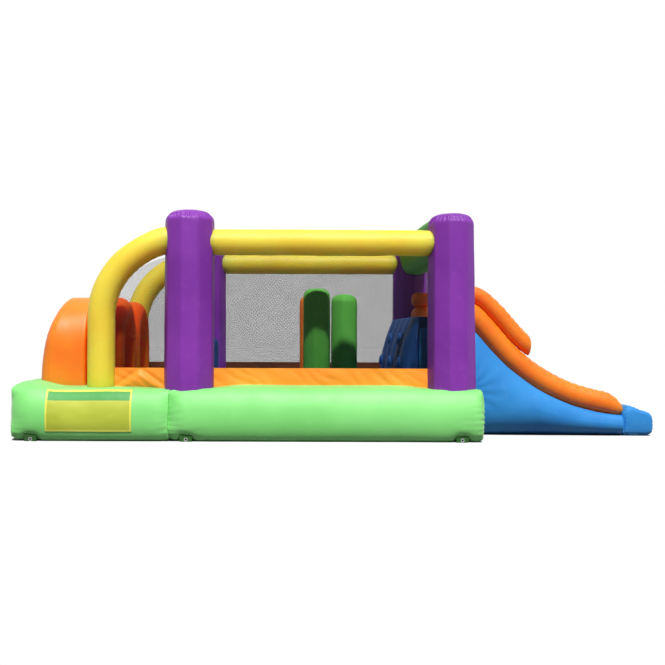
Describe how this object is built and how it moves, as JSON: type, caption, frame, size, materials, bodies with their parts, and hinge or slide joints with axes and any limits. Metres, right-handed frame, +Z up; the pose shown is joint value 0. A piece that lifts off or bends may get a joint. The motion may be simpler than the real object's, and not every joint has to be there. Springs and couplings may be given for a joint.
{
  "type": "inflatable bounce house",
  "caption": "Inflatable bounce house: crawl tunnels, netted bounce room with columns and pop-up posts, climbing wall and curved slide with side rails.",
  "frame": {"origin": "on the ground below the middle of the overall box", "axes": "+X along the length towards the slide's foot, +Y to the rear, +Z up"},
  "size_m": [6, 2.8, 2.095],
  "materials": {
    "purple_fabric": "coated woven polyester, satin",
    "yellow_fabric": "coated woven polyester, satin",
    "lime_fabric": "coated woven polyester, satin",
    "leaf_fabric": "coated woven polyester, satin",
    "orange_fabric": "coated woven polyester, satin",
    "blue_fabric": "coated woven polyester, satin",
    "patch_fabric": "sewn woven patch, plain",
    "net_mesh": "knitted polyester mesh, matt",
    "zip_tape": "woven zip tape",
    "steel": "plated steel"
  },
  "bodies": {
    "house": {"entry_base": "lime_fabric", "front_base_tube": "lime_fabric", "rear_base_tube": "lime_fabric", "end_base_tube": "lime_fabric", "bounce_floor": "blue_fabric", "floor_webs": "blue_fabric", "front_left_column": "purple_fabric", "front_right_column": "purple_fabric", "rear_left_column": "purple_fabric", "rear_right_column": "purple_fabric", "front_beam": "yellow_fabric", "rear_beam": "yellow_fabric", "front_arch": "yellow_fabric", "rear_arch": "yellow_fabric", "cross_tube": "leaf_fabric", "front_wall": "orange_fabric", "rear_wall": "orange_fabric", "front_entry_wall": "orange_fabric", "rear_entry_wall": "orange_fabric", "front_net": "net_mesh", "rear_net": "net_mesh", "front_arch_net": "net_mesh", "rear_arch_net": "net_mesh", "front_tunnel_outer_hoop": "orange_fabric", "front_tunnel_inner_hoop": "orange_fabric", "rear_tunnel_outer_hoop": "orange_fabric", "rear_tunnel_inner_hoop": "orange_fabric", "climbing_wall": "blue_fabric", "climbing_holds": "orange_fabric", "slide_body": "blue_fabric", "slide_webs": "blue_fabric", "slide_bolster": "blue_fabric", "front_lower_rail": "orange_fabric", "front_upper_rail": "orange_fabric", "rear_lower_rail": "orange_fabric", "rear_upper_rail": "orange_fabric", "blank_patch": "patch_fabric", "inlet_collar": "blue_fabric", "zip_tape": "zip_tape", "anchor_tabs": "lime_fabric", "anchor_eyelets": "steel"},
    "front_green_post": {"front_green_post": "leaf_fabric"},
    "rear_green_post": {"rear_green_post": "leaf_fabric"},
    "orange_post": {"orange_post": "orange_fabric"},
    "blue_post": {"blue_post": "blue_fabric"},
    "zip_slider": {"zip_slider": "steel"},
    "zip_flap": {"zip_flap": "blue_fabric"}
  },
  "joints": [
    {"name": "front_green_post_lean", "type": "hinge", "parent": "house", "child": "front_green_post", "pos_m": [-0.235, -0.59, 0.485], "axis": [0, 1, 0], "range_deg": [-20, 20], "stiffness_Nm_per_rad": 25},
    {"name": "rear_green_post_lean", "type": "hinge", "parent": "house", "child": "rear_green_post", "pos_m": [0.066, -0.235, 0.485], "axis": [0, 1, 0], "range_deg": [-20, 20], "stiffness_Nm_per_rad": 25},
    {"name": "orange_post_lean", "type": "hinge", "parent": "house", "child": "orange_post", "pos_m": [-0.235, 0.33, 0.485], "axis": [0, 1, 0], "range_deg": [-20, 20], "stiffness_Nm_per_rad": 25},
    {"name": "blue_post_lean", "type": "hinge", "parent": "house", "child": "blue_post", "pos_m": [-1.365, 0, 0.485], "axis": [0, 1, 0], "range_deg": [-20, 20], "stiffness_Nm_per_rad": 25},
    {"name": "zip_slide", "type": "slide", "parent": "house", "child": "zip_slider", "axis": [1, 0, 0], "range_m": [0, 0.32]},
    {"name": "zip_flap_lift", "type": "hinge", "parent": "house", "child": "zip_flap", "pos_m": [1.941, 0.7984, 0.1564], "axis": [1, 0, 0], "range_deg": [0, 120]}
  ]
}
